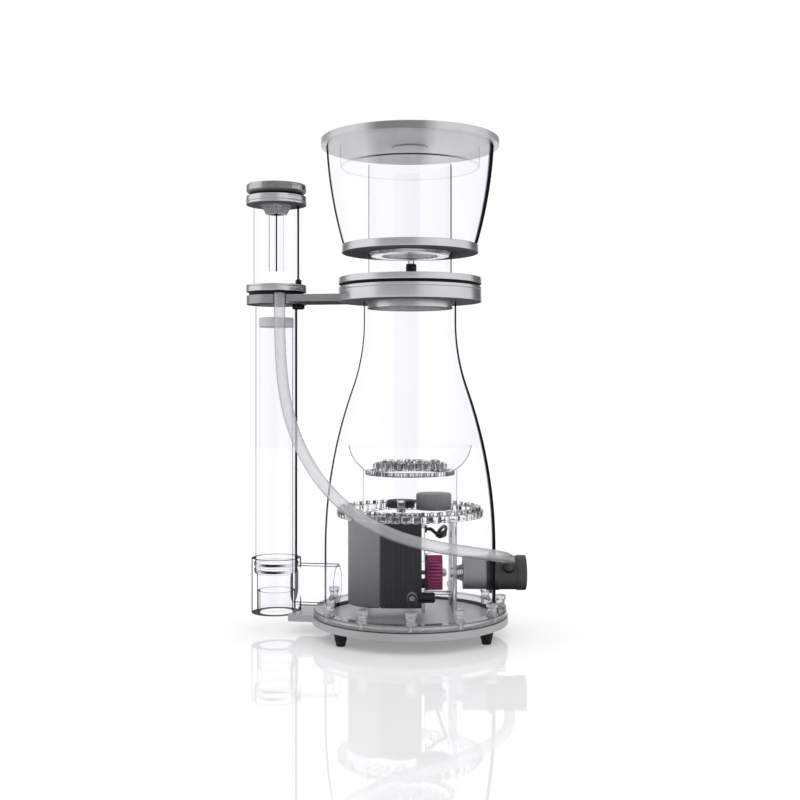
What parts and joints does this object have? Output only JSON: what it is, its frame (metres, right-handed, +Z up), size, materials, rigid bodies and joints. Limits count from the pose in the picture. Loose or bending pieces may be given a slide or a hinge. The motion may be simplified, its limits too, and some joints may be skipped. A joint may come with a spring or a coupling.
{
  "type": "protein skimmer",
  "caption": "Free-standing in-sump protein skimmer: clear cone body with needle-wheel pump inside, lift-off collection cup and outlet tower with air silencer.",
  "frame": {"origin": "on the floor, on the axis of the reaction body", "axes": "+Z up along the body's axis, +X towards the water intake, -Y to the front where the air hose runs"},
  "size_m": [0.332, 0.2469, 0.58],
  "materials": {
    "clear_acrylic": "polished clear acrylic",
    "grey_pvc": "satin turned PVC",
    "dark_grey": "moulded, satin",
    "black_plastic": "moulded",
    "rubber": "matte",
    "magenta": "moulded",
    "ceramic": "polished ceramic",
    "steel": "stainless",
    "hose": "milky translucent silicone"
  },
  "bodies": {
    "frame": {"air_hose": "hose", "air_tube": "clear_acrylic", "base_flange": "clear_acrylic", "base_gasket": "rubber", "base_plate": "grey_pvc", "base_thumbscrews": "clear_acrylic", "body_collar": "grey_pvc", "body_shell": "clear_acrylic", "bolt_nut": "clear_acrylic", "bubble_dish": "clear_acrylic", "bubble_plate": "clear_acrylic", "chamber_tube": "clear_acrylic", "diffuser_plate": "clear_acrylic", "foot_screws": "steel", "hose_barb": "clear_acrylic", "inlet_sleeve": "grey_pvc", "intake_body": "dark_grey", "intake_seal": "rubber", "lead_glands": "black_plastic", "motor_cover": "grey_pvc", "motor_housing": "dark_grey", "outlet_pipe": "clear_acrylic", "outlet_socket": "clear_acrylic", "plate_caps": "grey_pvc", "plate_posts": "clear_acrylic", "pump_backplate": "clear_acrylic", "pump_lead": "black_plastic", "pump_mounts": "rubber", "riser_seals": "rubber", "riser_tube": "clear_acrylic", "rotor_bush": "ceramic", "rubber_feet": "rubber", "side_port": "dark_grey", "silencer_base": "grey_pvc", "silencer_can": "clear_acrylic", "silencer_gasket": "rubber", "silencer_top_ring": "grey_pvc", "support_arm": "grey_pvc", "venturi_nozzle": "clear_acrylic", "volute": "clear_acrylic"},
    "seal": {"collar_seal": "rubber"},
    "cup": {"neck_tube": "clear_acrylic", "spigot_ring": "grey_pvc", "cup_collar": "grey_pvc", "cup_floor_ring": "grey_pvc", "cup_wall": "clear_acrylic", "neck_ring": "clear_acrylic", "drain_nipple": "clear_acrylic"},
    "drain_cap": {"drain_cap": "black_plastic"},
    "lid": {"cup_lid": "grey_pvc", "lid_skirt": "clear_acrylic"},
    "knob": {"air_knob": "grey_pvc"},
    "needle": {"air_needle": "black_plastic"},
    "standpipe": {"standpipe": "clear_acrylic", "standpipe_ring": "grey_pvc"},
    "clamp_screw": {"clamp_screw": "black_plastic"},
    "rotor": {"needle_wheel": "magenta", "rotor_magnet": "black_plastic", "rotor_axle": "ceramic", "wheel_nut": "clear_acrylic"}
  },
  "joints": [
    {"name": "cup_turn", "type": "hinge", "parent": "frame", "child": "seal", "pos_m": [0, 0, 0.408], "axis": [0, 0, 1], "range_deg": [-180, 180]},
    {"name": "cup_lift", "type": "slide", "parent": "seal", "child": "cup", "axis": [0, 0, 1], "range_m": [0, 0.08]},
    {"name": "lid_lift", "type": "slide", "parent": "cup", "child": "lid", "axis": [0, 0, 1], "range_m": [0, 0.05]},
    {"name": "drain_cap_pull", "type": "slide", "parent": "cup", "child": "drain_cap", "axis": [0, 0, -1], "range_m": [0, 0.01]},
    {"name": "knob_turn", "type": "hinge", "parent": "frame", "child": "knob", "pos_m": [-0.16005, 0.02506, 0.525], "axis": [0, 0, 1], "range_deg": [0, 720]},
    {"name": "needle_lift", "type": "slide", "parent": "frame", "child": "needle", "axis": [0, 0, 1], "range_m": [0, 0.0061]},
    {"name": "standpipe_slide", "type": "slide", "parent": "frame", "child": "standpipe", "axis": [0, 0, 1], "range_m": [0, 0.018]},
    {"name": "clamp_screw_turn", "type": "hinge", "parent": "frame", "child": "clamp_screw", "pos_m": [-0.13206, 0.00758, 0.39], "axis": [0, 0, 1], "continuous": true},
    {"name": "rotor_spin", "type": "hinge", "parent": "frame", "child": "rotor", "pos_m": [0, 0, 0.071], "axis": [1, 0, 0], "continuous": true}
  ],
  "couplings": [
    {"joint": "needle_lift", "follows": "knob_turn", "m_per_rad": 0.00047746}
  ]
}
